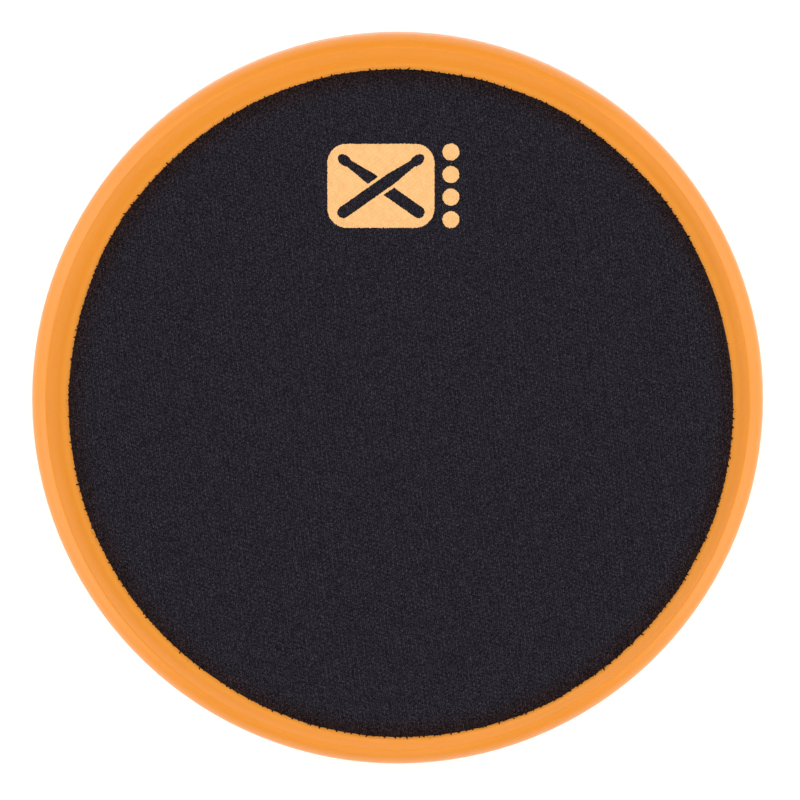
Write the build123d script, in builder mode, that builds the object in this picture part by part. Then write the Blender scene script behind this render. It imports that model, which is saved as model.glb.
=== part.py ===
from build123d import *
import os

# A round practice pad, six inches across, for drumming on a table or on a threaded stand.
# Lengths are in millimetres and angles in degrees. Z is up, and the origin is on the table,
# under the middle of the round base.

# ---- Base cup: a firm rubber moulding that holds everything else ----
base_radius = 76.2
wall_draft = 0.2
foot_height = 0.9
foot_edge_radius = 1.2
floor_top = 6.0
core_recess_radius = 65.2
shoulder_run = 3.0
shoulder_drop = 4.4
lip_height = 0.6
lip_run = 2.5
crest_round_radius = 0.4

# ---- Relief moulded into the underside ----
hub_boss_radius = 17.0
dish_radius = 56.5
dish_depth = 1.1
dish_slope = 1.0
rib_count = 12
rib_width = 1.8
rib_height = 0.7
groove_inner_radius = 60.0
groove_outer_radius = 68.4
groove_depth = 1.2

# ---- Grip ring: soft rubber, glued into the groove, with round treads ----
grip_clearance = 0.2
grip_tread_count = 4
grip_tread_pitch = 2.0
grip_tread_width = 1.1
grip_tread_depth = 0.7

# ---- Layers that are stacked on the floor of the cup ----
film_thickness = 0.2
film_margin = 0.4
plate_thickness = 4.0
plate_radius = 64.8
plate_edge_chamfer = 0.5
firm_foam_thickness = 5.0
soft_foam_thickness = 6.0
foam_radius = 65.0

# ---- Striking sheet: thin neoprene under a knitted facing, die-cut in one stroke ----
sheet_radius = 69.4
sheet_shift_x = 0.66
sheet_shift_y = -0.8
sheet_film_thickness = 0.15
sheet_film_margin = 0.8
neoprene_thickness = 1.6
facing_thickness = 0.4
edge_roll_width = 3.0
edge_roll_drop = 1.3

# ---- Threaded insert, M8 x 1.25, for a stand ----
thread_minor_radius = 3.32
thread_mouth_chamfer = 0.7
barrel_radius = 5.75
barrel_clearance = 0.1
flange_radius = 13.0
flange_thickness = 1.6
closed_end_thickness = 1.0
hub_radius = 14.0
hub_clearance = 0.1
hub_depth = 2.6

# ---- Screws that hold the insert's flange to the plate ----
screw_count = 3
screw_circle_radius = 9.3
screw_head_radius = 2.8
screw_head_angle = 90
screw_shank_radius = 1.4
screw_length = 6.0
screw_tip_length = 1.2
screw_tip_taper = 40
screw_clearance = 0.03
screw_recess_length = 3.0
screw_recess_width = 0.7
screw_recess_depth = 0.9
pilot_hole_depth = 4.8

# ---- Printed emblem: a badge with crossed drumsticks left open in it, and four beat dots ----
print_thickness = 0.1
badge_x = -3.45
badge_y = 44.4
badge_width = 22.2
badge_height = 17.4
badge_corner_radius = 4.0
stick_length = 21.6
stick_angle = 35.0
stick_butt_radius = 1.25
stick_neck_radius = 0.65
stick_bead_length = 1.6
stick_bead_radius = 1.1
stick_taper_start = 2.5
ink_line_width = 0.6
dot_x = 11.05
dot_radius = 1.75
dot_count = 4
dot_pitch = 4.67

# ---- Heights worked out from the dimensions above ----
underside = foot_height
dish_top = underside + dish_depth
groove_top = underside + groove_depth
plate_film_bottom = floor_top
plate_bottom = plate_film_bottom + film_thickness
plate_top = plate_bottom + plate_thickness
firm_foam_bottom = plate_top + film_thickness
firm_foam_top = firm_foam_bottom + firm_foam_thickness
soft_foam_bottom = firm_foam_top + film_thickness
band_height = soft_foam_bottom + soft_foam_thickness
crest_height = band_height + lip_height
neoprene_bottom = band_height + sheet_film_thickness
neoprene_top = neoprene_bottom + neoprene_thickness
facing_top = neoprene_top + facing_thickness
hub_bottom = floor_top - hub_depth
flange_bottom = plate_top - flange_thickness
thread_depth = plate_top - closed_end_thickness - underside

# ---- Radii worked out from the dimensions above ----
shoulder_radius = base_radius - wall_draft
crest_radius = shoulder_radius - shoulder_run
band_outer_radius = crest_radius - lip_run
hub_pocket_radius = hub_radius + hub_clearance
barrel_hole_radius = barrel_radius + barrel_clearance

os.makedirs("parts", exist_ok=True)


# ---- Base cup ----
with BuildPart() as base_cup:
    with BuildSketch(Plane.XZ):
        with BuildLine():
            underside_line = Polyline(
                (barrel_hole_radius, underside),
                (hub_boss_radius, underside),
                (hub_boss_radius + dish_slope, dish_top),
                (dish_radius - dish_slope, dish_top),
                (dish_radius, underside),
                (groove_inner_radius, underside),
                (groove_inner_radius, groove_top),
                (groove_outer_radius, groove_top),
                (groove_outer_radius, underside),
                (base_radius, underside),
            )
            wall = Line(underside_line @ 1, (shoulder_radius, crest_height - shoulder_drop))
            # The shoulder rolls in to a crest, and inside the crest a cove runs down to the flat band.
            TangentArc(wall @ 1, (crest_radius, crest_height), tangent=wall % 1)
            cove = TangentArc((band_outer_radius, band_height), (crest_radius, crest_height), tangent=(1, 0))
            Polyline(
                cove @ 0,
                (core_recess_radius, band_height),
                (core_recess_radius, floor_top),
                (hub_pocket_radius, floor_top),
                (hub_pocket_radius, hub_bottom),
                (barrel_hole_radius, hub_bottom),
                (barrel_hole_radius, underside),
            )
        make_face()
    revolve(axis=Axis.Z)
    # Stiffening ribs cross the shallow dish under the floor.
    with BuildSketch(Plane.XY.offset(dish_top - rib_height)):
        with PolarLocations((hub_boss_radius + dish_radius) / 2, rib_count):
            Rectangle(dish_radius - hub_boss_radius, rib_width)
    extrude(amount=rib_height + dish_depth)
    round_edges = base_cup.edges().filter_by(GeomType.CIRCLE)
    fillet(round_edges.group_by(Axis.Z)[-1], radius=crest_round_radius)
    round_edges = base_cup.edges().filter_by(GeomType.CIRCLE)
    fillet(round_edges.group_by(Axis.Z)[0].sort_by(SortBy.RADIUS)[-1], radius=foot_edge_radius)

base_cup.part.label = "base_cup"
export_step(base_cup.part, "parts/base_cup.step")


# ---- Grip ring and the film that holds it ----
grip_inner_radius = groove_inner_radius + grip_clearance
grip_outer_radius = groove_outer_radius - grip_clearance
grip_middle_radius = (grip_inner_radius + grip_outer_radius) / 2
grip_top = groove_top - film_thickness

with BuildPart() as grip_ring:
    with BuildSketch(Plane.XY.offset(grip_tread_depth)):
        Circle(grip_outer_radius)
        Circle(grip_inner_radius, mode=Mode.SUBTRACT)
    extrude(amount=grip_top - grip_tread_depth)
    with BuildSketch():
        for tread in range(grip_tread_count):
            tread_middle = grip_middle_radius + (tread - (grip_tread_count - 1) / 2) * grip_tread_pitch
            Circle(tread_middle + grip_tread_width / 2)
            Circle(tread_middle - grip_tread_width / 2, mode=Mode.SUBTRACT)
    extrude(amount=grip_tread_depth)

grip_ring.part.label = "grip_ring"
export_step(grip_ring.part, "parts/grip_ring.step")

with BuildPart() as grip_ring_adhesive:
    with BuildSketch(Plane.XY.offset(grip_top)):
        Circle(grip_outer_radius - film_margin)
        Circle(grip_inner_radius + film_margin, mode=Mode.SUBTRACT)
    extrude(amount=film_thickness)

grip_ring_adhesive.part.label = "grip_ring_adhesive"
export_step(grip_ring_adhesive.part, "parts/grip_ring_adhesive.step")


# ---- Stiffener plate, with a hub that drops into the pocket in the floor ----
with BuildPart() as stiffener_plate:
    with BuildSketch(Plane.XY.offset(plate_bottom)):
        Circle(plate_radius)
    extrude(amount=plate_thickness)
    chamfer(stiffener_plate.edges(), length=plate_edge_chamfer)
    with BuildSketch(Plane.XY.offset(hub_bottom)):
        Circle(hub_radius)
    extrude(amount=hub_depth + film_thickness)
    with Locations(Plane.XY.offset(plate_top)):
        CounterBoreHole(
            radius=barrel_hole_radius,
            counter_bore_radius=flange_radius + barrel_clearance,
            counter_bore_depth=flange_thickness,
        )
        with PolarLocations(screw_circle_radius, screw_count):
            Hole(radius=screw_shank_radius + screw_clearance, depth=flange_thickness + pilot_hole_depth)

stiffener_plate.part.label = "stiffener_plate"
export_step(stiffener_plate.part, "parts/stiffener_plate.step")

with BuildPart() as plate_adhesive:
    with BuildSketch(Plane.XY.offset(plate_film_bottom)):
        Circle(plate_radius - film_margin)
        Circle(hub_pocket_radius + film_margin, mode=Mode.SUBTRACT)
    extrude(amount=film_thickness)

plate_adhesive.part.label = "plate_adhesive"
export_step(plate_adhesive.part, "parts/plate_adhesive.step")


# ---- Threaded insert: a flanged barrel, closed at the top and open at the underside ----
with BuildPart() as threaded_insert:
    with BuildSketch(Plane.XY.offset(flange_bottom)):
        Circle(flange_radius)
    extrude(amount=flange_thickness)
    with BuildSketch(Plane.XY.offset(underside)):
        Circle(barrel_radius)
    extrude(amount=flange_bottom - underside)
    with Locations(Plane(origin=(0, 0, underside), z_dir=(0, 0, -1))):
        Hole(radius=thread_minor_radius, depth=thread_depth)
    mouth_edges = threaded_insert.edges().filter_by(GeomType.CIRCLE).group_by(Axis.Z)[0]
    chamfer(mouth_edges.sort_by(SortBy.RADIUS)[0], length=thread_mouth_chamfer)
    with Locations(Plane.XY.offset(plate_top)):
        with PolarLocations(screw_circle_radius, screw_count):
            CounterSinkHole(
                radius=screw_shank_radius + screw_clearance,
                counter_sink_radius=screw_head_radius + screw_clearance,
                depth=flange_thickness,
                counter_sink_angle=screw_head_angle,
            )

threaded_insert.part.label = "threaded_insert"
export_step(threaded_insert.part, "parts/threaded_insert.step")


# ---- Insert screws: countersunk heads with a cross recess, and pointed ends ----
screw_head_height = screw_head_radius - screw_shank_radius
screw_tip_top = plate_top - screw_length + screw_tip_length

with BuildPart() as insert_screws:
    with BuildSketch(Plane.XY.offset(plate_top)):
        with PolarLocations(screw_circle_radius, screw_count):
            Circle(screw_head_radius)
    extrude(amount=-screw_head_height, taper=screw_head_angle / 2)
    with BuildSketch(Plane.XY.offset(screw_tip_top)):
        with PolarLocations(screw_circle_radius, screw_count):
            Circle(screw_shank_radius)
    extrude(amount=plate_top - screw_head_height - screw_tip_top)
    with BuildSketch(Plane.XY.offset(screw_tip_top)):
        with PolarLocations(screw_circle_radius, screw_count):
            Circle(screw_shank_radius)
    extrude(amount=-screw_tip_length, taper=screw_tip_taper)
    with BuildSketch(Plane.XY.offset(plate_top)):
        with PolarLocations(screw_circle_radius, screw_count):
            Rectangle(screw_recess_length, screw_recess_width)
            Rectangle(screw_recess_width, screw_recess_length)
    extrude(amount=-screw_recess_depth, mode=Mode.SUBTRACT)

insert_screws.part.label = "insert_screws"
export_step(insert_screws.part, "parts/insert_screws.step")


# ---- Foam discs and the adhesive films between them ----
core_layers = [
    ("firm_foam_adhesive", plate_top, film_thickness, foam_radius - film_margin),
    ("firm_foam_disc", firm_foam_bottom, firm_foam_thickness, foam_radius),
    ("soft_foam_adhesive", firm_foam_top, film_thickness, foam_radius - film_margin),
    ("soft_foam_disc", soft_foam_bottom, soft_foam_thickness, foam_radius),
]

for layer_name, layer_bottom, layer_thickness, layer_radius in core_layers:
    with BuildPart() as core_layer:
        with BuildSketch(Plane.XY.offset(layer_bottom)):
            Circle(layer_radius)
        extrude(amount=layer_thickness)
    core_layer.part.label = layer_name
    export_step(core_layer.part, f"parts/{layer_name}.step")


# ---- Striking sheet: film, neoprene and facing, laid by hand a little off centre ----
with BuildPart() as top_sheet_adhesive:
    with BuildSketch(Plane.XY.offset(band_height)):
        with Locations((sheet_shift_x, sheet_shift_y)):
            Circle(sheet_radius - sheet_film_margin)
    extrude(amount=sheet_film_thickness)

top_sheet_adhesive.part.label = "top_sheet_adhesive"
export_step(top_sheet_adhesive.part, "parts/top_sheet_adhesive.step")

# The cutting die crushes the edge, so the top surface rolls down to the cut.
roll_start_radius = sheet_radius - edge_roll_width
sheet_middle = (sheet_shift_x, sheet_shift_y, 0)
sheet_plane = Plane(origin=sheet_middle, x_dir=(1, 0, 0), z_dir=(0, -1, 0))
sheet_axis = Axis(sheet_middle, (0, 0, 1))


def sheet_top_line(height):
    """Half of a layer's top surface in section: flat, then rolled down to the cut edge."""
    with BuildLine() as top_line:
        crown = Line((0, height), (roll_start_radius, height))
        TangentArc(crown @ 1, (sheet_radius, height - edge_roll_drop), tangent=(1, 0))
    return top_line.line


neoprene_top_line = sheet_top_line(neoprene_top)
facing_top_line = sheet_top_line(facing_top)

with BuildPart() as neoprene_sheet:
    with BuildSketch(sheet_plane):
        with BuildLine():
            add(neoprene_top_line)
            Polyline(
                (sheet_radius, neoprene_top - edge_roll_drop),
                (sheet_radius, neoprene_bottom),
                (0, neoprene_bottom),
                (0, neoprene_top),
            )
        make_face()
    revolve(axis=sheet_axis)

neoprene_sheet.part.label = "neoprene_sheet"
export_step(neoprene_sheet.part, "parts/neoprene_sheet.step")

with BuildPart() as knit_facing:
    with BuildSketch(sheet_plane):
        with BuildLine():
            add(facing_top_line)
            add(neoprene_top_line)
            Line((0, neoprene_top), (0, facing_top))
            Line((sheet_radius, neoprene_top - edge_roll_drop), (sheet_radius, facing_top - edge_roll_drop))
        make_face()
    revolve(axis=sheet_axis)

knit_facing.part.label = "knit_facing"
export_step(knit_facing.part, "parts/knit_facing.step")


# ---- Printed emblem: one drumstick crosses over the other, with a line of ink between them ----
stick_half = stick_length / 2
neck_x = stick_half - stick_bead_length

with BuildSketch() as drumstick:
    with Locations((stick_butt_radius - stick_half, 0)):
        Circle(stick_butt_radius)
    with BuildLine():
        Polyline(
            (stick_butt_radius - stick_half, stick_butt_radius),
            (stick_taper_start, stick_butt_radius),
            (neck_x, stick_neck_radius),
            (neck_x, -stick_neck_radius),
            (stick_taper_start, -stick_butt_radius),
            (stick_butt_radius - stick_half, -stick_butt_radius),
            close=True,
        )
    make_face()
    with Locations((stick_half - stick_bead_length, 0)):
        Ellipse(stick_bead_length, stick_bead_radius)

with BuildSketch() as drumstick_with_ink:
    add(drumstick.sketch)
    offset(amount=ink_line_width)

with BuildPart() as printed_emblem:
    with BuildSketch(Plane.XY.offset(facing_top)):
        with Locations((badge_x, badge_y)):
            RectangleRounded(badge_width, badge_height, badge_corner_radius)
        with Locations(Location((badge_x, badge_y, 0), (0, 0, 180 - stick_angle))):
            add(drumstick.sketch, mode=Mode.SUBTRACT)
        with Locations(Location((badge_x, badge_y, 0), (0, 0, stick_angle))):
            add(drumstick_with_ink.sketch)
            add(drumstick.sketch, mode=Mode.SUBTRACT)
        with Locations((dot_x, badge_y)):
            with GridLocations(0, dot_pitch, 1, dot_count):
                Circle(dot_radius)
    extrude(amount=print_thickness)

printed_emblem.part.label = "printed_emblem"
export_step(printed_emblem.part, "parts/printed_emblem.step")
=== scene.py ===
import math

import bmesh
import bpy
import numpy as np
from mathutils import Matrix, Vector
from mathutils.geometry import delaunay_2d_cdt
from mathutils.kdtree import KDTree


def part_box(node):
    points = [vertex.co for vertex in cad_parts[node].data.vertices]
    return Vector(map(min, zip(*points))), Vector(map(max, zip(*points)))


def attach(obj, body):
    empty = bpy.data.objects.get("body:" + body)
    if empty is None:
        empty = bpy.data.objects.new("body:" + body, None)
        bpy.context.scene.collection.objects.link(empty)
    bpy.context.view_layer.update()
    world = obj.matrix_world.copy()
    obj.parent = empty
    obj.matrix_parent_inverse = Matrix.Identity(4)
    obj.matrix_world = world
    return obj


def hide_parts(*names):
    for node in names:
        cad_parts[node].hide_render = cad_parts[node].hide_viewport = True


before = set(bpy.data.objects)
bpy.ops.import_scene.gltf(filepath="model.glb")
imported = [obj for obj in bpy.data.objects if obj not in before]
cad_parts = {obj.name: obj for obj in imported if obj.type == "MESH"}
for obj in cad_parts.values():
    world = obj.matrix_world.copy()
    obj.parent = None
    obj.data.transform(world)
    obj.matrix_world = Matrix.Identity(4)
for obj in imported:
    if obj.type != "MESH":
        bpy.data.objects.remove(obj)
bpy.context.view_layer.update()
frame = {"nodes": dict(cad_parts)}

# Lengths are in metres. MM turns a millimetre into metres, for the small sizes below.
MM = 0.001
ROOT = "root"
rng = np.random.default_rng(20)

nodes = frame["nodes"]
facing_low, facing_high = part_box("knit_facing")
neoprene_low, neoprene_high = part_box("neoprene_sheet")
_, cup_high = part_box("base_cup")
insert_low, insert_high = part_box("threaded_insert")

# ---- The knit: columns of stitches, each column nearly half a stitch behind the last ----
STITCH_WIDTH = 0.835 * MM
STITCH_LENGTH = 0.907 * MM
STITCH_STAGGER = 0.451
KNIT_TURN = math.radians(7.4)
KNIT_RELIEF = 0.10 * MM

# ---- The striking sheet ----
SHEET_MIDDLE = (facing_low + facing_high) / 2
SHEET_RADIUS = (facing_high.x - facing_low.x) / 2
EDGE_ROLL_WIDTH = 3.0 * MM
EDGE_ROLL_DROP = neoprene_high.z - facing_low.z
EDGE_TRIM = 0.13 * MM
EDGE_OVAL = 0.27 * MM
EDGE_OVAL_TURN = math.radians(113)
EDGE_WOBBLE = 0.40 * MM
EDGE_WAVES = range(5, 60)
EDGE_PHASES = rng.uniform(0, 2 * np.pi, len(EDGE_WAVES))
EDGE_TOOTH = 0.20 * MM
TOOTH_COUNT = 390
POINTS_PER_TOOTH = 4
STITCH_CLEARANCE = 0.35 * MM
UNDERSIDE_SPACING = 4 * MM
UNDERSIDE_MARGIN = 5 * MM
CORE_TRIM = 0.12 * MM
CORE_ROUGHNESS = 0.10 * MM
CORE_SEGMENTS = 1040

# ---- Colours near the cut edge: how far in the cloth is darker and warmer, and how far out the rubber has a painted light that offsets the sheet's shadow ----
DARK_EDGE_START = 5.2 * MM
DARK_EDGE_END = 0.2 * MM
PAINTED_LIGHT_BAND_WIDTH = 1.7 * MM

# ---- Yarn ends and loose fibres round the cut edge ----
YARN_END_COUNT = 260
YARN_END_RADIUS = 0.17 * MM
YARN_END_LENGTH = 0.20 * MM
FIBRE_COUNT = 60
FIBRE_RADIUS = 0.022 * MM
FIBRE_LENGTH = 0.50 * MM
FRAY_INSET = 0.18 * MM
FRAY_ROOT = 0.15 * MM
FRAY_POINTS = 5
FRAY_TAPER = (1.0, 1.0, 0.9, 0.75, 0.35)
FRAY_FIRST_DROP = 0.12
FRAY_MORE_DROP = 0.16

# ---- The ink of the emblem, which soaks into the knit and covers it ----
INK_RISE = 0.045 * MM
INK_SOAK = 0.12 * MM
INK_STEP = 0.2 * MM
INK_RAGGED = 0.045 * MM
INK_OUTLINE_STEP = 0.16 * MM
INK_CLEARANCE = 0.6 * INK_STEP
INK_RELIEF_SHARE = 0.6

# ---- The foam discs, whose cut walls bulge between their glued faces ----
FOAM_INSET = 0.05 * MM
FOAM_SEGMENTS = 720
FOAM_WALL_RINGS = 9

# ---- The insert's thread, M8 x 1.25 ----
THREAD_PITCH = 1.25 * MM
THREAD_MAJOR_RADIUS = 4.05 * MM
THREAD_MINOR_RADIUS = 3.30 * MM
THREAD_RUNOUT = 1.5 * MM
INSERT_CLOSED_END = 1.0 * MM
THREAD_STEEPNESS = 1.35
THREAD_ROOT_FLAT = 0.1

# ---- The angles past which a new piece's edges stay sharp ----
LATHE_SHARP_ANGLE = math.radians(40)
INK_SHARP_ANGLE = math.radians(50)
INSERT_SHARP_ANGLE = math.radians(35)

# ---- Camera and light ----
CAMERA_DISTANCE = 2.4
CAMERA_TILT = math.radians(2.2)
VIEW_WIDTH = 166.05 * MM
VIEW_SHIFT_X = 0.5 * MM
VIEW_SHIFT_Y = -0.09 * MM
# Blender takes the width of the sensor in millimetres.
SENSOR_WIDTH = 36.0
FLOOR_GLOW = 0.45
FLOOR_HALF_SIZE = 30.0
WORLD_LEVEL = 0.35
WORLD_FADE_START = 0.80
WORLD_FADE_END = 0.96
WORLD_ZENITH_SHARE = 0.15
# (name, azimuths, elevation, level, spread), with the angles in degrees
SUNS = (
    ("light_back", (48, 132), 54, 0.28, 50),
    ("light_front", (228, 312), 50, 0.18, 50),
    ("light_low_front", (270,), 26, 0.06, 16),
    ("light_side", (24, 156, 204, 336), 18, 0.33, 44),
)


# =====================================================================================
# Short ways to write nodes
# =====================================================================================
class Graph:
    """One material and its nodes. Sockets are passed as values, and numbers are set on the socket."""

    def __init__(self, name):
        self.material = bpy.data.materials.new(name)
        self.material.use_nodes = True
        self.nodes = self.material.node_tree.nodes
        self.links = self.material.node_tree.links
        self.nodes.clear()
        self.shader = self.nodes.new("ShaderNodeBsdfPrincipled")
        self.output = self.nodes.new("ShaderNodeOutputMaterial")
        self.links.new(self.shader.outputs["BSDF"], self.output.inputs["Surface"])

    def put(self, value, socket):
        """Links a socket to an input, or sets the input to a plain value."""
        if isinstance(value, bpy.types.NodeSocket):
            self.links.new(value, socket)
        else:
            socket.default_value = value

    def shade(self, **values):
        """Sets the shader's inputs by name, with an underscore for each space."""
        for name, value in values.items():
            self.put(value, self.shader.inputs[name.replace("_", " ")])

    def math(self, operation, a, b=0.0):
        node = self.nodes.new("ShaderNodeMath")
        node.operation = operation
        for value, socket in zip((a, b), node.inputs):
            self.put(value, socket)
        return node.outputs[0]

    def place(self, scale=1000.0, turn=0.0):
        """The point on the piece, in millimetres by default, turned about Z."""
        where = self.nodes.new("ShaderNodeTexCoord")
        mapping = self.nodes.new("ShaderNodeMapping")
        mapping.inputs["Scale"].default_value = (scale, scale, scale)
        mapping.inputs["Rotation"].default_value = (0.0, 0.0, turn)
        self.links.new(where.outputs["Object"], mapping.inputs["Vector"])
        return mapping.outputs[0]

    def split(self, vector):
        node = self.nodes.new("ShaderNodeSeparateXYZ")
        self.links.new(vector, node.inputs[0])
        return node.outputs[0], node.outputs[1], node.outputs[2]

    def join(self, x, y, z=0.0):
        node = self.nodes.new("ShaderNodeCombineXYZ")
        for value, socket in zip((x, y, z), node.inputs):
            self.put(value, socket)
        return node.outputs[0]

    def noise(self, vector, size, detail=2.0, roughness=0.5):
        """Soft noise from 0 to 1, whose blotches are about size across."""
        node = self.nodes.new("ShaderNodeTexNoise")
        self.links.new(vector, node.inputs["Vector"])
        node.inputs["Scale"].default_value = 1.0 / size
        node.inputs["Detail"].default_value = detail
        node.inputs["Roughness"].default_value = roughness
        return node.outputs["Fac"]

    def voronoi(self, vector, size, feature="F1"):
        """A pattern of irregular cells about size across."""
        node = self.nodes.new("ShaderNodeTexVoronoi")
        node.feature = feature
        self.links.new(vector, node.inputs["Vector"])
        node.inputs["Scale"].default_value = 1.0 / size
        return node

    def cells(self, vector, size, feature="F1"):
        """The distance to the nearest cell middle, or to the cell's edge, of cells about size across."""
        return self.voronoi(vector, size, feature).outputs["Distance"]

    def specks(self, vector, size):
        """One random number from 0 to 1 for each irregular cell about size across."""
        parts = self.nodes.new("ShaderNodeSeparateColor")
        self.links.new(self.voronoi(vector, size).outputs["Color"], parts.inputs[0])
        return parts.outputs[0]

    def random(self, vector):
        """One random number from 0 to 1 for each value of the vector."""
        node = self.nodes.new("ShaderNodeTexWhiteNoise")
        node.noise_dimensions = "3D"
        self.links.new(vector, node.inputs["Vector"])
        return node.outputs["Value"]

    def span(self, value, low, high, out_low=0.0, out_high=1.0, smooth=False):
        """Maps low..high to out_low..out_high and stops at the ends."""
        node = self.nodes.new("ShaderNodeMapRange")
        node.interpolation_type = "SMOOTHSTEP" if smooth else "LINEAR"
        for number, socket in zip((value, low, high, out_low, out_high), node.inputs):
            self.put(number, socket)
        return node.outputs[0]

    def blend(self, factor, a, b):
        """A colour from a to b."""
        node = self.nodes.new("ShaderNodeMix")
        node.data_type = "RGBA"
        self.put(factor, node.inputs[0])
        for colour, socket in ((a, node.inputs[6]), (b, node.inputs[7])):
            self.put(colour if isinstance(colour, bpy.types.NodeSocket) else (*colour, 1.0), socket)
        return node.outputs[2]

    def bump(self, height, depth, strength=1.0, under=None):
        """Bumps whose full height is depth, in metres."""
        node = self.nodes.new("ShaderNodeBump")
        node.inputs["Strength"].default_value = strength
        node.inputs["Distance"].default_value = depth
        self.put(height, node.inputs["Height"])
        if under is not None:
            self.links.new(under, node.inputs["Normal"])
        return node.outputs[0]


def dress(piece, material):
    """Gives every face of a piece one material."""
    if not piece.material_slots:
        piece.data.materials.append(None)
    for place in piece.material_slots:
        place.link = "OBJECT"
        place.material = material


# =====================================================================================
# Materials
# =====================================================================================
def sheet_distance(g, point):
    """How far a point is from the middle of the striking sheet, seen from above, in millimetres."""
    x, y, _ = g.split(point)
    dx = g.math("SUBTRACT", x, SHEET_MIDDLE.x / MM)
    dy = g.math("SUBTRACT", y, SHEET_MIDDLE.y / MM)
    return g.math("SQRT", g.math("ADD", g.math("MULTIPLY", dx, dx), g.math("MULTIPLY", dy, dy)))


def orange_rubber():
    """Satin rubber, a little paler on the band right beside the sheet: a painted light that offsets the
    shadow the sheet casts there.
    """
    g = Graph("orange_rubber")
    point = g.place()
    edge = SHEET_RADIUS / MM
    # Painted light: the band next to the sheet is made paler to cancel the shade that the sheet casts on it.
    painted_light_beside_sheet = g.span(sheet_distance(g, point), edge, edge + PAINTED_LIGHT_BAND_WIDTH / MM, 1.0, 0.0, smooth=True)
    clouds = g.noise(point, 22.0, 3.0)
    grain = g.noise(point, 0.35, 3.0, 0.65)
    skin = g.noise(point, 2.4, 2.0)
    pale = g.span(clouds, 0.3, 0.7)
    base = g.blend(pale, (0.640, 0.202, 0.003), (0.670, 0.214, 0.005))
    base = g.blend(painted_light_beside_sheet, base, (0.860, 0.310, 0.026))
    g.shade(
        Base_Color=g.blend(g.span(grain, 0.35, 0.75, 0.0, 0.5), base, (0.720, 0.240, 0.009)),
        Roughness=g.math("ADD", g.span(skin, 0.3, 0.7, 0.33, 0.39), g.span(grain, 0.3, 0.7, -0.03, 0.04)),
        Specular_IOR_Level=0.52,
        Normal=g.bump(grain, 0.012 * MM, 1.0, g.bump(skin, 0.02 * MM, 0.6)),
    )
    return g.material


def knit_coordinates(g):
    """How many stitches across and along a point is."""
    x, y, _ = g.split(g.place(turn=-KNIT_TURN))
    across = g.math("DIVIDE", x, STITCH_WIDTH / MM)
    along = g.math("ADD", g.math("DIVIDE", y, STITCH_LENGTH / MM), g.math("MULTIPLY", across, STITCH_STAGGER))
    return across, along


def stitch_pattern(g):
    """(height of the yarn from 0 to 1, place across the stitch, random for each stitch, and each leg)."""
    across, along = knit_coordinates(g)
    u = g.math("SUBTRACT", g.math("FRACT", across), 0.5)
    v = g.math("SUBTRACT", g.math("FRACT", along), 0.5)
    # Each stitch is a V: its two legs lean out from the middle of the column.
    side = g.math("ABSOLUTE", u)
    leg = g.math("ADD", 0.24, g.math("MULTIPLY", v, 0.20))
    off_leg = g.math("DIVIDE", g.math("SUBTRACT", side, leg), 0.23)
    round_leg = g.math("SUBTRACT", 1.0, g.math("MULTIPLY", off_leg, off_leg))
    end = g.math("MULTIPLY", v, 1.75)
    round_end = g.math("SUBTRACT", 1.0, g.math("MULTIPLY", end, end))
    yarn = g.math("MULTIPLY", g.math("MAXIMUM", round_leg, 0.0), g.math("MAXIMUM", round_end, 0.0))
    column = g.math("FLOOR", across)
    course = g.math("FLOOR", along)
    each_stitch = g.random(g.join(column, course))
    each_leg = g.random(g.join(column, course, g.math("SIGN", u)))
    return yarn, u, each_stitch, each_leg


def knit_fabric():
    """Black knit with painted shade in its dips, a painted light on one leg of each stitch and painted
    glints; each stitch, leg and fibre is also a little lighter or darker at random, and the cloth is darker
    and warmer near the cut edge.
    """
    g = Graph("knit_fabric")
    point = g.place()
    yarn, u, each_stitch, each_leg = stitch_pattern(g)
    fibres = g.noise(point, 0.34, 2.0, 0.7)
    # Painted glints: small bright specks in the colour that stand for light caught by the fibres.
    painted_glints = g.specks(point, 0.16)
    # Brightness of the yarn: painted shade from its own height, darker in the dips between the yarns, and a
    # painted light that makes one leg of each stitch lighter than the other, as if lit from one side, then
    # what is random in each stitch, leg and fibre.
    # Painted shade and painted light: darker where the yarn dips, and lighter on one leg of each stitch.
    painted_light_shade_and_tone = g.math("MULTIPLY", g.span(yarn, 0.0, 0.9, 0.5, 1.0), g.span(u, -0.25, 0.25, 0.87, 1.13))
    painted_light_shade_and_tone = g.math("MULTIPLY", painted_light_shade_and_tone, g.span(each_leg, 0.0, 1.0, 0.92, 1.08))
    painted_light_shade_and_tone = g.math("MULTIPLY", painted_light_shade_and_tone, g.span(each_stitch, 0.0, 1.0, 0.96, 1.04))
    painted_light_shade_and_tone = g.math("MULTIPLY", painted_light_shade_and_tone, g.span(fibres, 0.28, 0.72, 0.9, 1.1))
    painted_glints = g.math("MULTIPLY", painted_glints, painted_glints)
    soft_painted_light_shade_and_tone = g.math("MULTIPLY", painted_light_shade_and_tone, g.span(painted_glints, 0.0, 1.0, 0.09, 0.71))
    rough_painted_light_shade_and_tone = g.math("MULTIPLY", painted_light_shade_and_tone, g.span(painted_glints, 0.0, 1.0, 0.02, 0.80))
    edge = SHEET_RADIUS / MM
    # The cloth turns darker and warmer towards the cut edge.
    rim = g.span(sheet_distance(g, point), edge - DARK_EDGE_START / MM, edge - DARK_EDGE_END / MM, smooth=True)
    cloth = g.blend(soft_painted_light_shade_and_tone, (0.0010, 0.0008, 0.0010), (0.058, 0.052, 0.0710))
    dark_edge_colour = g.blend(rough_painted_light_shade_and_tone, (0.0005, 0.0003, 0.0003), (0.064, 0.0345, 0.0355))
    g.shade(
        Base_Color=g.blend(rim, cloth, dark_edge_colour),
        Roughness=0.85,
        Specular_IOR_Level=0.04,
        Normal=g.bump(yarn, 0.10 * MM, 0.8, g.bump(fibres, 0.03 * MM, 0.3)),
    )
    return g.material


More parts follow.
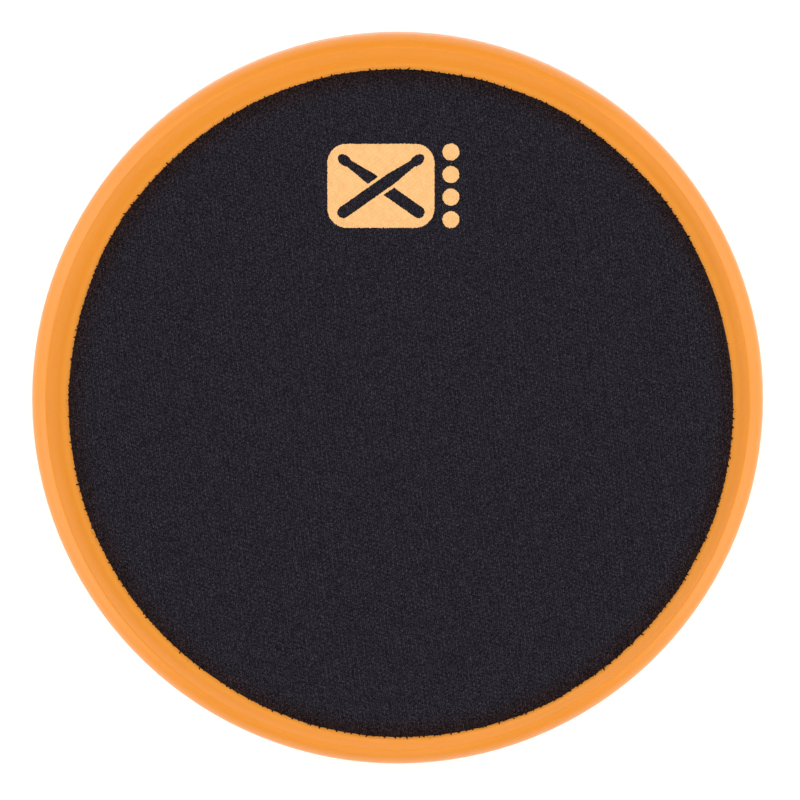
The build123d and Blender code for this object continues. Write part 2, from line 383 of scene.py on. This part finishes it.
def print_ink():
    """Pale orange ink that is thin where the knit dips."""
    g = Graph("print_ink")
    point = g.place()
    yarn, _, each_stitch, _ = stitch_pattern(g)
    fibres = g.noise(point, 0.14, 2.0, 0.6)
    thin = g.math("MULTIPLY", g.span(yarn, 0.0, 0.35, 0.35, 0.0), g.span(fibres, 0.35, 0.7))
    colour = g.blend(each_stitch, (0.70, 0.378, 0.145), (0.74, 0.420, 0.170))
    g.shade(
        Base_Color=g.blend(thin, colour, (0.33, 0.15, 0.045)),
        Roughness=0.6,
        Specular_IOR_Level=0.2,
        Normal=g.bump(yarn, 0.06 * MM, 0.7),
    )
    return g.material


def moulded(name, dark, light, roughness, grain_size=0.3, depth=0.01):
    """Moulded rubber or plastic with a fine grain."""
    g = Graph(name)
    point = g.place()
    grain = g.noise(point, grain_size, 3.0, 0.6)
    wear = g.noise(point, 7.0, 3.0)
    g.shade(
        Base_Color=g.blend(g.span(wear, 0.3, 0.7), dark, light),
        Roughness=g.span(grain, 0.3, 0.7, roughness - 0.06, roughness + 0.06),
        Normal=g.bump(grain, depth * MM, 0.8),
    )
    return g.material


def turned_metal(name, colour, roughness, groove=0.12):
    """Metal with fine rings about the pad's axis, such as a lathe leaves."""
    g = Graph(name)
    x, y, z = g.split(g.place())
    radius = g.math("SQRT", g.math("ADD", g.math("MULTIPLY", x, x), g.math("MULTIPLY", y, y)))
    rings = g.noise(g.join(radius, z), groove, 2.0, 0.7)
    stain = g.noise(g.place(), 4.0, 3.0)
    darker = tuple(0.72 * part for part in colour)
    g.shade(
        Base_Color=g.blend(g.span(stain, 0.35, 0.75), colour, darker),
        Metallic=1.0,
        Roughness=g.span(rings, 0.3, 0.7, roughness - 0.08, roughness + 0.10),
        Normal=g.bump(rings, 0.01 * MM, 0.7),
    )
    return g.material


def foam(name, dark, light, cell):
    """Cut foam: lighter, raised walls round darker cells, pitted by smaller cells; the darker cells and pits
    are painted shade.
    """
    g = Graph(name)
    point = g.place()
    walls = g.cells(point, cell, "DISTANCE_TO_EDGE")
    small = g.cells(point, cell * 0.4)
    ridge = g.span(walls, 0.0, 0.28, 1.0, 0.0)
    # The colour is painted shade: lighter on the raised walls, darker in the cells and small pits.
    g.shade(
        Base_Color=g.blend(g.math("MULTIPLY", ridge, g.span(small, 0.0, 0.8, 0.4, 1.0)), dark, light),
        Roughness=0.92,
        Specular_IOR_Level=0.2,
        Normal=g.bump(ridge, 0.25 * cell * MM, 0.8, g.bump(small, 0.1 * cell * MM, 0.6)),
    )
    return g.material


def adhesive():
    """Double-sided film: a pale, slightly mottled glue."""
    g = Graph("adhesive_film")
    point = g.place()
    blotch = g.noise(point, 5.0, 4.0)
    thread = g.noise(point, 0.5, 2.0)
    g.shade(
        Base_Color=g.blend(g.span(blotch, 0.3, 0.7), (0.56, 0.48, 0.32), (0.72, 0.66, 0.50)),
        Roughness=g.span(thread, 0.3, 0.7, 0.22, 0.38),
        Normal=g.bump(thread, 0.02 * MM, 0.6),
    )
    return g.material


def studio_floor():
    """A matt pale floor that glows a little, so that it stays white round the object."""
    g = Graph("studio_floor")
    point = g.place(scale=1.0)
    soft = g.noise(point, 0.4, 2.0)
    g.shade(
        Base_Color=g.blend(g.span(soft, 0.3, 0.7), (0.64, 0.64, 0.64), (0.66, 0.66, 0.66)),
        Roughness=0.9,
        Specular_IOR_Level=0.0,
        Emission_Color=(1.0, 1.0, 1.0, 1.0),
        Emission_Strength=FLOOR_GLOW,
    )
    return g.material


# =====================================================================================
# Shapes
# =====================================================================================
def new_piece(name, points, faces, smooth=True):
    mesh = bpy.data.meshes.new(name)
    mesh.from_pydata([tuple(p) for p in points], [], [tuple(f) for f in faces])
    mesh.validate()
    mesh.update()
    if smooth:
        mesh.shade_smooth()
    piece = bpy.data.objects.new(name, mesh)
    bpy.context.scene.collection.objects.link(piece)
    return piece


def knit_relief(x, y):
    """How far the knit stands above or sinks below its mean surface, from -0.25 to 0.5."""
    turned_x = x * math.cos(KNIT_TURN) + y * math.sin(KNIT_TURN)
    turned_y = y * math.cos(KNIT_TURN) - x * math.sin(KNIT_TURN)
    across = turned_x / STITCH_WIDTH
    along = turned_y / STITCH_LENGTH + STITCH_STAGGER * across
    wave = np.cos(2 * np.pi * across) + np.cos(2 * np.pi * along) + np.cos(2 * np.pi * (along - across))
    return wave / 6


def crown_height(radius, top):
    """The height of a sheet layer whose flat middle is at top and whose edge rolls down to the cut."""
    bend = (EDGE_ROLL_WIDTH ** 2 + EDGE_ROLL_DROP ** 2) / (2 * EDGE_ROLL_DROP)
    past = np.clip(radius - (SHEET_RADIUS - EDGE_ROLL_WIDTH), 0, EDGE_ROLL_WIDTH)
    return top - bend + np.sqrt(bend ** 2 - past ** 2)


def cut_radius(angle):
    """The radius of the die-cut line at an angle: a slightly stretched circle with a slow wobble."""
    radius = SHEET_RADIUS - EDGE_TRIM + EDGE_OVAL * np.cos(2 * (angle - EDGE_OVAL_TURN))
    for waves, phase in zip(EDGE_WAVES, EDGE_PHASES):
        radius = radius + EDGE_WOBBLE * waves ** -1.2 * np.cos(waves * angle + phase)
    return radius


def cut_edge():
    """(angles, radii) of the facing's cut edge: the die-cut line with the teeth of cut yarns."""
    count = TOOTH_COUNT * POINTS_PER_TOOTH
    angle = np.arange(count) * 2 * np.pi / count
    tooth_height = rng.uniform(0.2, 1.0, TOOTH_COUNT).repeat(POINTS_PER_TOOTH)
    tooth = tooth_height * np.abs(np.sin(TOOTH_COUNT * angle / 2 + 0.3)) + rng.normal(0, 0.07, count)
    return angle, cut_radius(angle) - EDGE_TOOTH * (1 - tooth)


def disc_points(spacing_x, spacing_y, stagger, turn, radius):
    """Points of a skewed lattice that lie within a radius of the origin."""
    reach = int(2.2 * radius / min(spacing_x, spacing_y))
    i, j = np.meshgrid(np.arange(-reach, reach + 1), np.arange(-reach, reach + 1))
    local_x = i * spacing_x
    local_y = (j - stagger * i) * spacing_y
    x = local_x * math.cos(turn) - local_y * math.sin(turn)
    y = local_x * math.sin(turn) + local_y * math.cos(turn)
    inside = np.hypot(x, y) < radius
    return x[inside], y[inside]


def filled_disc(ring_x, ring_y, inner_x, inner_y):
    """Triangles over points inside a closed ring. The ring's points come first."""
    points = [Vector(p) for p in zip(np.r_[ring_x, inner_x], np.r_[ring_y, inner_y])]
    ring = list(range(len(ring_x)))
    made = delaunay_2d_cdt(points, [], [ring], 1, 1e-7)
    return np.array([tuple(p) for p in made[0]]), [tuple(f) for f in made[2]]


def facing_sheet():
    """The knit facing: a closed sheet with the stitches' relief on top and a rolled, die-cut edge."""
    angle, ring_r = cut_edge()
    ring_count = len(angle)
    ring_x, ring_y = ring_r * np.cos(angle), ring_r * np.sin(angle)
    half_x, half_y = disc_points(STITCH_WIDTH / 2, STITCH_LENGTH / 2, STITCH_STAGGER, KNIT_TURN, SHEET_RADIUS)
    kept = np.hypot(half_x, half_y) < cut_radius(np.arctan2(half_y, half_x)) - STITCH_CLEARANCE
    half_x, half_y = half_x[kept], half_y[kept]
    flat, faces = filled_disc(ring_x, ring_y, half_x, half_y)
    radius = np.hypot(flat[:, 0], flat[:, 1])
    place_x, place_y = flat[:, 0] + SHEET_MIDDLE.x, flat[:, 1] + SHEET_MIDDLE.y
    relief = knit_relief(place_x, place_y) * KNIT_RELIEF
    top = crown_height(radius, facing_high.z - KNIT_RELIEF / 2) + relief
    upper = np.column_stack([place_x, place_y, top])

    # The underside is smooth, and has the same outline as the top.
    reach = SHEET_RADIUS - UNDERSIDE_MARGIN
    sparse_x, sparse_y = disc_points(UNDERSIDE_SPACING, UNDERSIDE_SPACING, 0.5, 0.0, reach)
    flat_under, faces_under = filled_disc(ring_x, ring_y, sparse_x, sparse_y)
    under_radius = np.hypot(flat_under[:, 0], flat_under[:, 1])
    under_z = crown_height(np.minimum(under_radius, SHEET_RADIUS), neoprene_high.z)
    lower = np.column_stack(
        [flat_under[:, 0] + SHEET_MIDDLE.x, flat_under[:, 1] + SHEET_MIDDLE.y, under_z]
    )
    shift = len(upper)
    faces = faces + [tuple(shift + k for k in reversed(f)) for f in faces_under]
    following = [(k + 1) % ring_count for k in range(ring_count)]
    faces += [(k, shift + k, shift + n, n) for k, n in zip(range(ring_count), following)]
    return new_piece("facing_cloth", np.vstack([upper, lower]), faces)


def tube(path, radii, sides):
    """Points and faces of a closed tube round a path."""
    points, faces = [], []
    for k, (where, radius) in enumerate(zip(path, radii)):
        along = (path[min(k + 1, len(path) - 1)] - path[max(k - 1, 0)]).normalized()
        across = along.orthogonal().normalized()
        other = along.cross(across)
        for side in range(sides):
            turn = 2 * math.pi * side / sides
            points.append(where + radius * (math.cos(turn) * across + math.sin(turn) * other))
    for k in range(len(path) - 1):
        for side in range(sides):
            after = (side + 1) % sides
            a, b = k * sides, (k + 1) * sides
            faces.append((a + side, a + after, b + after, b + side))
    faces.append(tuple(reversed(range(sides))))
    faces.append(tuple(range(len(points) - sides, len(points))))
    return points, faces


def frayed_edge():
    """Yarn ends and loose fibres that stick out of the cut edge and droop towards the band."""
    points, faces = [], []
    # (how many, mean length, radius, sides, spread of the heading, spread of the curl), angles in radians
    sorts = (
        (YARN_END_COUNT, YARN_END_LENGTH, YARN_END_RADIUS, 6, 0.8, 0.9),
        (FIBRE_COUNT, FIBRE_LENGTH, FIBRE_RADIUS, 4, 0.9, 1.2),
    )
    edge_z = crown_height(SHEET_RADIUS, facing_high.z)
    for count, mean_length, radius, sides, spread, curl in sorts:
        for k in range(count):
            angle = 2 * math.pi * (k + rng.uniform(-0.4, 0.4)) / count
            length = mean_length * float(np.clip(rng.gamma(2.2, 0.45), 0.2, 2.6))
            heading = angle + rng.normal(0, spread)
            bend = rng.normal(0, curl)
            start_z = edge_z - rng.uniform(0.05, 0.3) * MM
            start_r = cut_radius(angle) - FRAY_INSET
            where = SHEET_MIDDLE + Vector((start_r * math.cos(angle), start_r * math.sin(angle), 0))
            where.z = start_z
            path = []
            for step in range(FRAY_POINTS):
                path.append(where.copy())
                reach = (FRAY_ROOT if step == 0 else 0) + length / (FRAY_POINTS - 1)
                turned = heading + bend * step / FRAY_POINTS
                drop = -FRAY_FIRST_DROP - FRAY_MORE_DROP * step
                where += reach * Vector((math.cos(turned), math.sin(turned), drop))
                where.z = max(where.z, neoprene_low.z + radius)
            radii = [part * radius for part in FRAY_TAPER]
            more_points, more_faces = tube(path, radii, sides)
            faces += [tuple(len(points) + n for n in face) for face in more_faces]
            points += more_points
    return new_piece("edge_fibres", points, faces)


def lathe(name, profile, middle, segments, push=None):
    """Turns (radius, z) points about a vertical axis. The first and last points lie on the axis."""
    angle = np.arange(segments) * 2 * np.pi / segments
    points = [(middle.x, middle.y, profile[0][1])]
    for radius, z in profile[1:-1]:
        grown = radius + (push(angle, radius, z) if push else 0)
        ring_x, ring_y = middle.x + grown * np.cos(angle), middle.y + grown * np.sin(angle)
        points += list(zip(ring_x, ring_y, np.full(segments, z)))
    points.append((middle.x, middle.y, profile[-1][1]))
    last = len(points) - 1
    faces = []
    for k in range(segments):
        after = (k + 1) % segments
        faces.append((0, 1 + after, 1 + k))
        for ring in range(len(profile) - 3):
            a, b = 1 + ring * segments, 1 + (ring + 1) * segments
            faces.append((a + k, a + after, b + after, b + k))
        b = 1 + (len(profile) - 3) * segments
        faces.append((b + k, b + after, last))
    piece = new_piece(name, points, [tuple(reversed(face)) for face in faces])
    piece.data.set_sharp_from_angle(angle=LATHE_SHARP_ANGLE)
    return piece


def rough_cut(depth, near):
    """Pushes each point of a cut wall in by a random amount, and leaves the flat faces alone."""

    def push(angle, radius, z):
        if radius < near:
            return 0.0
        return depth * rng.uniform(-1, 0, len(angle))

    return push


def neoprene_core():
    """The neoprene of the striking sheet: flat below, rolled down above, with a rough cut wall."""
    cut = SHEET_RADIUS - CORE_TRIM
    inner = [r * MM for r in (12, 24, 36, 48, 58)]
    roll = SHEET_RADIUS - EDGE_ROLL_WIDTH * np.array([1.0, 0.75, 0.5, 0.3, 0.15])
    top = [(0.0, neoprene_high.z)] + [(r, neoprene_high.z) for r in inner]
    top += [(r, float(crown_height(r, neoprene_high.z))) for r in (*roll, cut)]
    edge_z = top[-1][1]
    wall = [(cut, edge_z + (neoprene_low.z - edge_z) * part) for part in (0.35, 0.7, 1.0)]
    under = [(r, neoprene_low.z) for r in reversed(inner)] + [(0.0, neoprene_low.z)]

    def push(angle, radius, z):
        # The wall follows the die-cut line, and is a little rough.
        if radius < cut - 0.01 * MM:
            return 0.0
        return cut_radius(angle) - SHEET_RADIUS - rng.uniform(0, CORE_ROUGHNESS, len(angle))

    return lathe("neoprene_core", top + wall + under, SHEET_MIDDLE, CORE_SEGMENTS, push)


def foam_pad(node, bulge, rough):
    """A foam disc whose cut wall bulges a little between its two glued faces."""
    low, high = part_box(node)
    middle = (low + high) / 2
    radius = (high.x - low.x) / 2 - FOAM_INSET
    height = high.z - low.z
    rings = [radius * part for part in (0.25, 0.5, 0.75, 0.92)]
    wall = []
    for part in np.linspace(0.0, 1.0, FOAM_WALL_RINGS):
        belly = 1 - (2 * part - 1) ** 2
        wall.append((radius - bulge * (1 - belly), high.z - height * part))
    top = [(0.0, high.z)] + [(r, high.z) for r in rings]
    under = [(r, low.z) for r in reversed(rings)] + [(0.0, low.z)]
    push = rough_cut(rough, radius - bulge - 0.01 * MM)
    return lathe(node.replace("_disc", "_pad"), top + wall + under, middle, FOAM_SEGMENTS, push)


def node_outline(node):
    """The closed loops, as arrays of (x, y), round the top faces of a flat CAD node."""
    mesh = bmesh.new()
    mesh.from_mesh(nodes[node].data)
    bmesh.ops.remove_doubles(mesh, verts=mesh.verts, dist=1e-6)
    # The list keeps the mesh's own order, because a set's order changes from run to run.
    upper = [face for face in mesh.faces if face.normal.z > 0.9]
    is_upper = set(upper)
    following = {}
    for face in upper:
        for corner in face.loops:
            painted_light_beside_sheet = [other for other in corner.edge.link_faces if other in is_upper]
            if len(painted_light_beside_sheet) == 1:
                following[corner.vert] = corner.link_loop_next.vert
    loops = []
    while following:
        vert = next(iter(following))
        loop = []
        while vert in following:
            loop.append((vert.co.x, vert.co.y))
            vert = following.pop(vert)
        loops.append(np.array(loop))
    mesh.free()
    return loops


def even_steps(loop, step):
    """The same closed loop with its points about one step apart."""
    closed = np.vstack([loop, loop[:1]])
    lengths = np.hypot(*np.diff(closed, axis=0).T)
    along = np.concatenate([[0], np.cumsum(lengths)])
    count = max(12, int(along[-1] / step))
    wanted = np.arange(count) * along[-1] / count
    return np.column_stack([np.interp(wanted, along, closed[:, axis]) for axis in (0, 1)])


def inside_loops(x, y, loops):
    """Whether each point is inside: how many loop edges lie to its right is odd."""
    crossings = np.zeros(len(x), dtype=int)
    for loop in loops:
        ahead = np.roll(loop, -1, axis=0)
        for (x0, y0), (x1, y1) in zip(loop, ahead):
            spans = (y0 > y) != (y1 > y)
            if y0 != y1:
                crossings += spans & (x < x0 + (y - y0) * (x1 - x0) / (y1 - y0))
    return crossings % 2 == 1


def emblem_ink():
    """The printed emblem: its CAD outline with ragged edges, laid over the relief of the knit."""
    loops = [even_steps(loop, INK_OUTLINE_STEP) for loop in node_outline("printed_emblem")]
    loops = [loop + rng.normal(0, INK_RAGGED, loop.shape) for loop in loops]
    low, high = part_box("printed_emblem")
    grid_x, grid_y = np.meshgrid(np.arange(low.x, high.x, INK_STEP), np.arange(low.y, high.y, INK_STEP))
    grid_x = (grid_x + INK_STEP / 2 * (np.arange(len(grid_x)) % 2)[:, None]).ravel()
    grid_y = grid_y.ravel()
    rim = KDTree(sum(len(loop) for loop in loops))
    for n, (x, y) in enumerate(np.vstack(loops)):
        rim.insert((x, y, 0.0), n)
    rim.balance()
    clear = np.array([rim.find((x, y, 0.0))[2] > INK_CLEARANCE for x, y in zip(grid_x, grid_y)])
    keep = clear & inside_loops(grid_x, grid_y, loops)
    points = [Vector(p) for p in np.vstack([*loops, np.column_stack([grid_x[keep], grid_y[keep]])])]
    edges, start = [], 0
    for loop in loops:
        edges += [(start + k, start + (k + 1) % len(loop)) for k in range(len(loop))]
        start += len(loop)
    made = delaunay_2d_cdt(points, edges, [], 0, 1e-8)
    flat = np.array([tuple(p) for p in made[0]])
    triangles = np.array([tuple(f) for f in made[2]])
    centres = flat[triangles].mean(axis=1)
    triangles = triangles[inside_loops(centres[:, 0], centres[:, 1], loops)]
    top_z = facing_high.z + INK_RISE + knit_relief(flat[:, 0], flat[:, 1]) * INK_RELIEF_SHARE * KNIT_RELIEF
    upper = np.column_stack([flat, top_z])
    lower = np.column_stack([flat, np.full(len(flat), facing_high.z - INK_SOAK)])
    shift = len(flat)
    faces = [tuple(t) for t in triangles] + [tuple(shift + t[::-1]) for t in triangles]
    borders = {}
    for t in triangles:
        for a, b in ((t[0], t[1]), (t[1], t[2]), (t[2], t[0])):
            if borders.pop((b, a), None) is None:
                borders[(a, b)] = True
    faces += [(b, a, shift + a, shift + b) for a, b in borders]
    piece = new_piece("emblem_ink", np.vstack([upper, lower]), faces)
    mesh = bmesh.new()
    mesh.from_mesh(piece.data)
    bmesh.ops.delete(mesh, geom=[v for v in mesh.verts if not v.link_faces], context="VERTS")
    mesh.to_mesh(piece.data)
    mesh.free()
    piece.data.set_sharp_from_angle(angle=INK_SHARP_ANGLE)
    return piece


def tap(segments=96, steps_per_turn=16):
    """The shape that a tap cuts: a rod whose helical thread fades out short of the bore's end."""
    bottom = insert_low.z - THREAD_PITCH
    top = insert_high.z - INSERT_CLOSED_END - THREAD_RUNOUT
    levels = int(round((top - bottom) / THREAD_PITCH * steps_per_turn))
    angle = np.arange(segments) * 2 * np.pi / segments
    depth = THREAD_MAJOR_RADIUS - THREAD_MINOR_RADIUS
    points, faces = [], []
    for level in range(levels + 1):
        z = bottom + (top - bottom) * level / levels
        phase = (z / THREAD_PITCH - angle / (2 * np.pi)) % 1.0
        ridge = np.clip(THREAD_STEEPNESS * (1 - np.abs(2 * phase - 1)) - THREAD_ROOT_FLAT, 0, 1)
        fade = min(1.0, (levels - level) / steps_per_turn)
        radius = THREAD_MINOR_RADIUS + depth * ridge * fade
        points += list(zip(radius * np.cos(angle), radius * np.sin(angle), np.full(segments, z)))
    for level in range(levels):
        for k in range(segments):
            after = (k + 1) % segments
            a, b = level * segments, (level + 1) * segments
            faces.append((a + k, a + after, b + after, b + k))
    faces.append(tuple(reversed(range(segments))))
    faces.append(tuple(range(len(points) - segments, len(points))))
    return new_piece("tap", points, faces)


def tapped_insert():
    """The brass insert with its thread really cut."""
    mesh = bmesh.new()
    mesh.from_mesh(nodes["threaded_insert"].data)
    bmesh.ops.remove_doubles(mesh, verts=mesh.verts, dist=1e-6)
    piece = new_piece("insert_body", [], [])
    mesh.to_mesh(piece.data)
    mesh.free()
    cutter = tap()
    cut = piece.modifiers.new("thread", "BOOLEAN")
    cut.operation = "DIFFERENCE"
    cut.solver = "EXACT"
    cut.object = cutter
    bpy.context.view_layer.update()
    tapped = bpy.data.meshes.new_from_object(piece.evaluated_get(bpy.context.evaluated_depsgraph_get()))
    piece.modifiers.clear()
    piece.data = tapped
    bpy.data.objects.remove(cutter)
    piece.data.shade_smooth()
    piece.data.set_sharp_from_angle(angle=INSERT_SHARP_ANGLE)
    return piece


# =====================================================================================
# Build
# =====================================================================================
def settle(piece, material, slot, *replaced):
    """Dresses a new piece, hangs it on the root body, and hides the CAD nodes that it replaces."""
    dress(piece, material)
    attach(piece, ROOT)
    if replaced:
        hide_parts(*replaced)
    return piece


knit = knit_fabric()

neoprene_foam = foam("neoprene_foam", (0.006, 0.006, 0.007), (0.022, 0.022, 0.024), 0.2)

core = settle(neoprene_core(), neoprene_foam, "neoprene", "neoprene_sheet")

facing = settle(facing_sheet(), knit, "knit_fabric", "knit_facing")
fibres = settle(frayed_edge(), knit, "knit_fabric")

settle(emblem_ink(), print_ink(), "print_ink", "printed_emblem")

soft_foam = foam("soft_foam", (0.10, 0.10, 0.11), (0.34, 0.34, 0.36), 0.9)
firm_foam = foam("firm_foam", (0.020, 0.020, 0.022), (0.07, 0.07, 0.075), 0.35)
for name, material, bulge, rough in (
    ("soft_foam_disc", soft_foam, 0.35 * MM, 0.12 * MM),
    ("firm_foam_disc", firm_foam, 0.15 * MM, 0.06 * MM),
):
    pad = settle(foam_pad(name, bulge, rough), material, name.replace("_disc", ""), name)

brass = turned_metal("insert_brass", (0.83, 0.62, 0.30), 0.30)
settle(tapped_insert(), brass, "insert_brass", "threaded_insert")

dress(nodes["base_cup"], orange_rubber())
dress(nodes["grip_ring"], moulded("grip_rubber", (0.018, 0.018, 0.019), (0.030, 0.030, 0.031), 0.62))
dress(nodes["stiffener_plate"], moulded("plate_plastic", (0.016, 0.016, 0.017), (0.028, 0.028, 0.029), 0.40))
dress(nodes["insert_screws"], turned_metal("screw_steel", (0.62, 0.62, 0.64), 0.34))
glue = adhesive()
for name in nodes:
    if name.endswith("_adhesive"):
        dress(nodes[name], glue)


# =====================================================================================
# Floor, light and camera
# =====================================================================================
def make_floor():
    """A large flat floor under the object."""
    size = FLOOR_HALF_SIZE
    corners = [(-size, -size, 0.0), (size, -size, 0.0), (size, size, 0.0), (-size, size, 0.0)]
    floor = new_piece("studio_floor", corners, [(0, 1, 2, 3)], smooth=False)
    dress(floor, studio_floor())


def make_sun(name, azimuth, elevation, level, spread):
    """A soft light from far away. level is how bright it makes white card that faces it."""
    light = bpy.data.lights.new(name, "SUN")
    light.energy = math.pi * level
    light.angle = math.radians(spread)
    lamp = bpy.data.objects.new(name, light)
    bpy.context.scene.collection.objects.link(lamp)
    a, e = math.radians(azimuth), math.radians(elevation)
    towards = Vector((math.cos(a) * math.cos(e), math.sin(a) * math.cos(e), math.sin(e)))
    lamp.rotation_mode = "QUATERNION"
    lamp.rotation_quaternion = towards.to_track_quat("Z", "Y")


def make_world(level):
    """Even light from all round, but little from straight above, where the camera hangs."""
    world = bpy.data.worlds.new("studio")
    bpy.context.scene.world = world
    world.use_nodes = True
    nodes, links = world.node_tree.nodes, world.node_tree.links
    direction = nodes.new("ShaderNodeTexCoord")
    parts = nodes.new("ShaderNodeSeparateXYZ")
    strength = nodes.new("ShaderNodeMapRange")
    strength.interpolation_type = "SMOOTHSTEP"
    levels = (0.0, WORLD_FADE_START, WORLD_FADE_END, level, WORLD_ZENITH_SHARE * level)
    for value, socket in zip(levels, strength.inputs):
        socket.default_value = value
    links.new(direction.outputs["Generated"], parts.inputs[0])
    links.new(parts.outputs["Z"], strength.inputs["Value"])
    background = nodes["Background"]
    background.inputs["Color"].default_value = (1.0, 1.0, 1.0, 1.0)
    links.new(strength.outputs[0], background.inputs["Strength"])


def make_camera():
    """A long lens nearly straight above the pad."""
    data = bpy.data.cameras.new("camera")
    camera = bpy.data.objects.new("camera", data)
    bpy.context.scene.collection.objects.link(camera)
    bpy.context.scene.camera = camera
    aim = Vector((VIEW_SHIFT_X, VIEW_SHIFT_Y, cup_high.z))
    back = Vector((0.0, math.sin(CAMERA_TILT), math.cos(CAMERA_TILT)))
    camera.location = aim + back * CAMERA_DISTANCE
    camera.rotation_euler = (-CAMERA_TILT, 0.0, 0.0)
    data.sensor_width = SENSOR_WIDTH
    data.lens = data.sensor_width * CAMERA_DISTANCE / VIEW_WIDTH
    data.clip_start = 0.05
    data.clip_end = 60.0


make_floor()
make_world(WORLD_LEVEL)
for name, azimuths, elevation, level, spread in SUNS:
    for azimuth in azimuths:
        make_sun(f"{name}_{azimuth}", azimuth, elevation, level, spread)
make_camera()

bpy.context.scene.view_settings.view_transform = "Standard"
bpy.context.scene.view_settings.look = "None"
